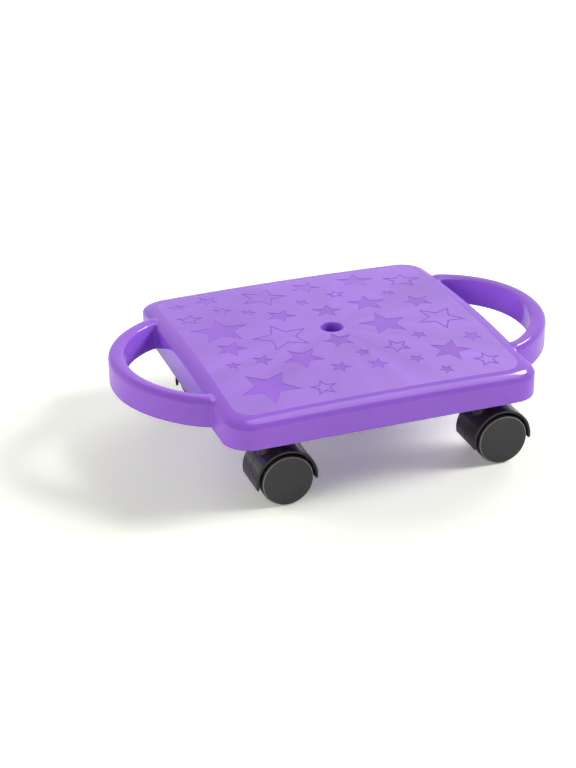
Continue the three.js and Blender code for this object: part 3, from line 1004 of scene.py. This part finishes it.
def build_hub(matrix, side):
    """One wheel's hard middle with its smooth outer face, and an axle bore behind it."""
    skin = Skin()
    place = matrix @ AXLE_PLACE @ Matrix.Scale(-side, 4, (0, 0, 1))
    rim = WHEEL_RADIUS - TREAD_DEPTH - FIT_GAP
    flange_inside = WHEEL_PAIR_HALF - FACE_THICKNESS
    bore = AXLE_RADIUS + FIT_GAP
    edge_middle = (FACE_RADIUS - FACE_EDGE_ROUND, WHEEL_PAIR_HALF - FACE_EDGE_ROUND - FACE_DOME)
    edge = arc(edge_middle, FACE_EDGE_ROUND, 0, 90, FACE_EDGE_STEPS)
    dome = [(FACE_RADIUS * s, WHEEL_PAIR_HALF - FACE_DOME * s ** 2) for s in FACE_DOME_SHARES]
    profile = [
        (0, HUB_FACE_INSIDE),
        (bore, HUB_FACE_INSIDE),
        (bore, WHEEL_INNER_FACE),
        (HUB_BOSS_RADIUS, WHEEL_INNER_FACE),
        (HUB_BOSS_RADIUS, HUB_FACE_INSIDE),
        (HUB_POCKET_RADIUS, HUB_FACE_INSIDE),
        (HUB_POCKET_RADIUS, WHEEL_INNER_FACE),
        (rim, WHEEL_INNER_FACE),
        (rim, flange_inside),
        (FACE_RADIUS - FACE_EDGE_ROUND / 2, flange_inside),
        (FACE_RADIUS, flange_inside + FACE_EDGE_ROUND / 2),
    ] + edge + dome + [(0, WHEEL_PAIR_HALF)]
    turned_solid(skin, profile, WHEEL_SEGMENTS, place)
    # The faces between the edge's points, ring by ring, get the rim's lighter look: a painted
    # highlight along the rounded edge of the wheel's face
    first = (len(profile) - len(dome) - len(edge) - 2) * WHEEL_SEGMENTS
    last = first + (len(edge) - 1) * WHEEL_SEGMENTS
    skin.looks[first:last] = [FACE_RIM_HIGHLIGHT] * (last - first)
    return skin


def build_tread(matrix, side):
    """One wheel's tread, with rounded edges."""
    skin = Skin()
    place = matrix @ AXLE_PLACE @ Matrix.Scale(-side, 4, (0, 0, 1))
    bore = WHEEL_RADIUS - TREAD_DEPTH
    outer = WHEEL_PAIR_HALF - FACE_THICKNESS - FIT_GAP
    profile = softened([
        (bore, WHEEL_INNER_FACE),
        (WHEEL_RADIUS, WHEEL_INNER_FACE),
        (WHEEL_RADIUS, outer),
        (bore, outer),
    ], [0, TREAD_ROUND, TREAD_ROUND, 0], TREAD_ROUND_STEPS)
    turned(skin, profile, WHEEL_SEGMENTS, place)
    return skin


def build_stem(matrix):
    """A grip ring stem: a round pin with a collar over the housing and a groove near its top."""
    low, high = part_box("front_left_stem")
    collar, cut = STEM_COLLAR_RADIUS, STEM_COLLAR_CHAMFER
    collar_bottom = COLUMN_TOP + FIT_GAP
    collar_top = collar_bottom + STEM_COLLAR_THICKNESS
    groove_top = high.z - STEM_GROOVE_FROM_TIP
    groove_bottom = groove_top - STEM_GROOVE_HEIGHT
    profile = [
        (0, low.z),
        (STEM_RADIUS - STEM_FOOT_CHAMFER, low.z),
        (STEM_RADIUS, low.z + STEM_FOOT_CHAMFER),
        (STEM_RADIUS, collar_bottom),
        (collar - cut, collar_bottom),
        (collar, collar_bottom + cut),
        (collar, collar_top - cut),
        (collar - cut, collar_top),
        (STEM_RADIUS, collar_top),
        (STEM_RADIUS, groove_bottom),
        (STEM_GROOVE_RADIUS, groove_bottom + STEM_GROOVE_SLOPE),
        (STEM_GROOVE_RADIUS, groove_top - STEM_GROOVE_SLOPE),
        (STEM_RADIUS, groove_top),
        (STEM_RADIUS, high.z - STEM_TIP_CHAMFER),
        (STEM_RADIUS - STEM_TIP_CHAMFER, high.z),
        (0, high.z),
    ]
    skin = Skin()
    turned_solid(skin, profile, SMALL_ROUND_SEGMENTS, matrix)
    return skin


def build_axle(matrix):
    """The pin that both wheels of a caster turn on."""
    skin = Skin()
    half = box_size("front_left_axle").y / 2
    profile = [
        (0, -half),
        (AXLE_RADIUS - AXLE_CHAMFER, -half),
        (AXLE_RADIUS, -half + AXLE_CHAMFER),
        (AXLE_RADIUS, half - AXLE_CHAMFER),
        (AXLE_RADIUS - AXLE_CHAMFER, half),
        (0, half),
    ]
    turned_solid(skin, profile, AXLE_SEGMENTS, matrix @ AXLE_PLACE)
    return skin


def build_socket(axis):
    """The flanged sleeve in a boss under the deck that the stem turns in."""
    low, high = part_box("front_left_socket")
    flange = box_size("front_left_socket").x / 2
    flange_top = low.z + SOCKET_FLANGE_THICKNESS
    bore = STEM_RADIUS + 2 * FIT_GAP
    wall = bore + SOCKET_WALL
    profile = softened([
        (bore, low.z),
        (flange, low.z),
        (flange, flange_top),
        (wall, flange_top),
        (wall, high.z),
        (bore, high.z),
    ], SOCKET_ROUND, steps=2)
    skin = Skin()
    turned(skin, profile, ROUND_SEGMENTS, Matrix.Translation(axis))
    return skin


def build_grip_ring(axis):
    """A split spring ring that lies in the stem's groove."""
    low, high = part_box("front_left_grip_ring")
    inner, outer = RING_INNER_RADIUS, box_size("front_left_grip_ring").y / 2
    gap = math.radians(RING_HALF_GAP_DEGREES)
    corners = [(inner, low.z), (outer, low.z), (outer, high.z), (inner, high.z)]
    section = softened(corners, RING_ROUND, steps=3)
    rings = []
    for i in range(RING_STEPS + 1):
        angle = math.pi + gap + (2 * math.pi - 2 * gap) * i / RING_STEPS
        cosine, sine = math.cos(angle), math.sin(angle)
        rings.append([Vector((r * cosine, r * sine, z)) + axis for r, z in section])
    skin = Skin()
    skin.solid(rings)
    return skin


# The looks of a caster's pieces, by their material slots
CASTER_LOOKS = {
    "caster_plastic": [hood_look],
    "plain_steel": [plain_steel_look],
    "socket_steel": [socket_steel_look],
    "spring_steel": [spring_steel_look],
    "hub_plastic": [face_look, rim_highlight_look],
    "tread_rubber": [rubber_look],
}


def make_caster(corner):
    """All the pieces of one caster, with its socket and grip ring."""
    matrix = caster_matrix(corner)
    axis = caster_axis(corner)
    body = corner + "_caster"
    # Each piece: end of its name, mesh, body, material slot, end of its node's name
    pieces = [
        ("_hood", build_housing(matrix), body, "caster_plastic", "_housing"),
        ("_pin", build_stem(matrix), body, "plain_steel", "_stem"),
        ("_wheel_pin", build_axle(matrix), body, "plain_steel", "_axle"),
        ("_sleeve", build_socket(axis), "board", "socket_steel", "_socket"),
        ("_split_ring", build_grip_ring(axis), "board", "spring_steel", "_grip_ring"),
    ]
    for end, side in (("_near", -1), ("_far", 1)):
        wheel = corner + end + "_wheel"
        pieces += [
            (end + "_disc", build_hub(matrix, side), wheel, "hub_plastic", end + "_hub"),
            (end + "_tyre", build_tread(matrix, side), wheel, "tread_rubber", end + "_tread"),
        ]
    for name, skin, rides_on, slot, node in pieces:
        made = make_object(corner + name, skin, CASTER_LOOKS[slot], CASTER_SHARP_DEGREES)
        attach(made, rides_on, slot, corner + node)


make_deck()
for corner_name in CORNERS:
    make_caster(corner_name)


# Floor
FLOOR_HALF = 12
FLOOR_COLOUR = (0.9, 0.9, 0.88, 1)
FLOOR_SEEN_COLOUR = (1.25, 1.28, 1.14, 1)
FLOOR_GLOW = 0.12


def make_floor():
    """A pale floor, brighter to the camera than in the light that it throws on the part."""
    bpy.ops.mesh.primitive_plane_add(size=2 * FLOOR_HALF)
    floor = bpy.context.active_object
    floor.name = "floor"
    material = bpy.data.materials.new("floor_white")
    material.use_nodes = True
    nodes, links = material.node_tree.nodes, material.node_tree.links
    nodes.remove(nodes["Principled BSDF"])
    diffuse = nodes.new("ShaderNodeBsdfDiffuse")
    glow = nodes.new("ShaderNodeEmission")
    path = nodes.new("ShaderNodeLightPath")
    colour = nodes.new("ShaderNodeMix")
    colour.data_type = "RGBA"
    colour.inputs[6].default_value = FLOOR_COLOUR
    colour.inputs[7].default_value = FLOOR_SEEN_COLOUR
    links.new(path.outputs["Is Camera Ray"], colour.inputs["Factor"])
    links.new(colour.outputs[2], diffuse.inputs["Color"])
    strength = nodes.new("ShaderNodeMath")
    strength.operation = "MULTIPLY"
    strength.inputs[1].default_value = FLOOR_GLOW
    add = nodes.new("ShaderNodeAddShader")
    links.new(path.outputs["Is Camera Ray"], strength.inputs[0])
    links.new(strength.outputs["Value"], glow.inputs["Strength"])
    links.new(diffuse.outputs["BSDF"], add.inputs[0])
    links.new(glow.outputs["Emission"], add.inputs[1])
    links.new(add.outputs["Shader"], nodes["Material Output"].inputs["Surface"])
    floor.data.materials.append(material)


# Light

# The sky fades over a range of heights, and again over a range from front to back. Both
# ranges are parts of a direction of length one.
SKY_HEIGHTS = (0.5, 0.8)
SKY_STRENGTHS = (0.65, 0.25)
FRONT_TO_BACK = (-0.2, 0.7)
FRONT_TO_BACK_SHARES = (0.2, 1)
WHITE = (1, 1, 1)
WARM_WHITE = (1, 0.96, 0.78)
SOFTBOX_DISTANCE = 2.4

# Suns: name, direction of the light's source, softness in degrees, strength and colour
SUNS = (
    ("key", (0.814, -0.158, 0.559), 25, 2.3, WHITE),
    ("left_fill", (-0.89, -0.36, 0.28), 30, 0.55, WARM_WHITE),
    ("front_fill", (-0.38, -0.90, 0.21), 30, 0.48, WHITE),
    ("rear_fill", (-0.694, 0.583, 0.423), 40, 1.1, WHITE),
    ("rear_right_fill", (0.664, 0.664, 0.342), 40, 1.2, WHITE),
)

# Softboxes: name, direction of the lamp, size in metres and power
SOFTBOXES = (
    ("broad_softbox", (0.359, 0.301, 0.883), 1.55, 12),
    ("small_softbox", (0.60, 0.42, 0.68), 0.56, 11),
)


def make_world():
    """A white background, with soft light that is bright low down and behind the part."""
    world = bpy.data.worlds.new("studio")
    bpy.context.scene.world = world
    world.use_nodes = True
    nodes, links = world.node_tree.nodes, world.node_tree.links
    background = nodes["Background"]
    background.inputs["Color"].default_value = (1, 1, 1, 1)
    place = nodes.new("ShaderNodeTexCoord")
    split = nodes.new("ShaderNodeSeparateXYZ")
    links.new(place.outputs["Generated"], split.inputs["Vector"])
    strength = nodes.new("ShaderNodeMath")
    strength.operation = "MULTIPLY"
    by_height = map_range(nodes, links, split.outputs["Z"], SKY_HEIGHTS, SKY_STRENGTHS)
    by_depth = map_range(nodes, links, split.outputs["Y"], FRONT_TO_BACK, FRONT_TO_BACK_SHARES)
    for i, fade in enumerate((by_height, by_depth)):
        fade.interpolation_type = "SMOOTHSTEP"
        links.new(fade.outputs["Result"], strength.inputs[i])
    path = nodes.new("ShaderNodeLightPath")
    # The camera sees plain white, and all other rays get the sky's own strength
    seen = map_range(nodes, links, path.outputs["Is Camera Ray"], (0, 1), (0, 1))
    links.new(strength.outputs["Value"], seen.inputs["To Min"])
    links.new(seen.outputs["Result"], background.inputs["Strength"])


def make_sun(name, direction, softness_degrees, strength, colour):
    """A soft distant light, left out of reflections."""
    lamp = bpy.data.lights.new(name, "SUN")
    lamp.energy = strength
    lamp.color = colour
    lamp.angle = math.radians(softness_degrees)
    sun = bpy.data.objects.new(name, lamp)
    sun.rotation_mode = "QUATERNION"
    sun.rotation_quaternion = Vector(direction).to_track_quat("Z", "Y")
    sun.visible_glossy = False
    bpy.context.scene.collection.objects.link(sun)


def make_softbox(name, direction, size, power):
    """A round lamp that faces the middle of the deck and shows in reflections alone."""
    lamp = bpy.data.lights.new(name, "AREA")
    lamp.shape = "DISK"
    lamp.size = size
    lamp.energy = power
    box = bpy.data.objects.new(name, lamp)
    way = Vector(direction)
    box.location = Vector((0, 0, EDGE_HEIGHT)) + way.normalized() * SOFTBOX_DISTANCE
    box.rotation_mode = "QUATERNION"
    box.rotation_quaternion = way.to_track_quat("Z", "Y")
    box.visible_diffuse = False
    bpy.context.scene.collection.objects.link(box)


# Camera
CAMERA_AZIMUTH = math.radians(-21.28)
CAMERA_ELEVATION = math.radians(26.49)
CAMERA_DISTANCE = 1594.4 * MM
CAMERA_TARGET = Vector((-41.28 * MM, -93.56 * MM, EDGE_HEIGHT))
PICTURE_WIDTH, PICTURE_HEIGHT = 576, 768
FOCAL_PIXELS = 1752.9
MIDDLE_PIXEL = 327


def make_camera():
    """A camera at the photograph's viewing angle, shifted sideways to frame the part like it."""
    data = bpy.data.cameras.new("camera")
    data.lens = data.sensor_width * FOCAL_PIXELS / PICTURE_HEIGHT
    data.shift_x = (PICTURE_WIDTH / 2 - MIDDLE_PIXEL) / PICTURE_HEIGHT
    camera = bpy.data.objects.new("camera", data)
    level_reach = math.cos(CAMERA_ELEVATION)
    back = Vector((
        math.sin(CAMERA_AZIMUTH) * level_reach,
        -math.cos(CAMERA_AZIMUTH) * level_reach,
        math.sin(CAMERA_ELEVATION),
    ))
    camera.location = CAMERA_TARGET + back * CAMERA_DISTANCE
    camera.rotation_mode = "QUATERNION"
    camera.rotation_quaternion = (-back).to_track_quat("-Z", "Y")
    bpy.context.scene.collection.objects.link(camera)
    bpy.context.scene.camera = camera


make_floor()
make_world()
for sun_row in SUNS:
    make_sun(*sun_row)
for softbox_row in SOFTBOXES:
    make_softbox(*softbox_row)
make_camera()
bpy.context.scene.view_settings.view_transform = "Standard"
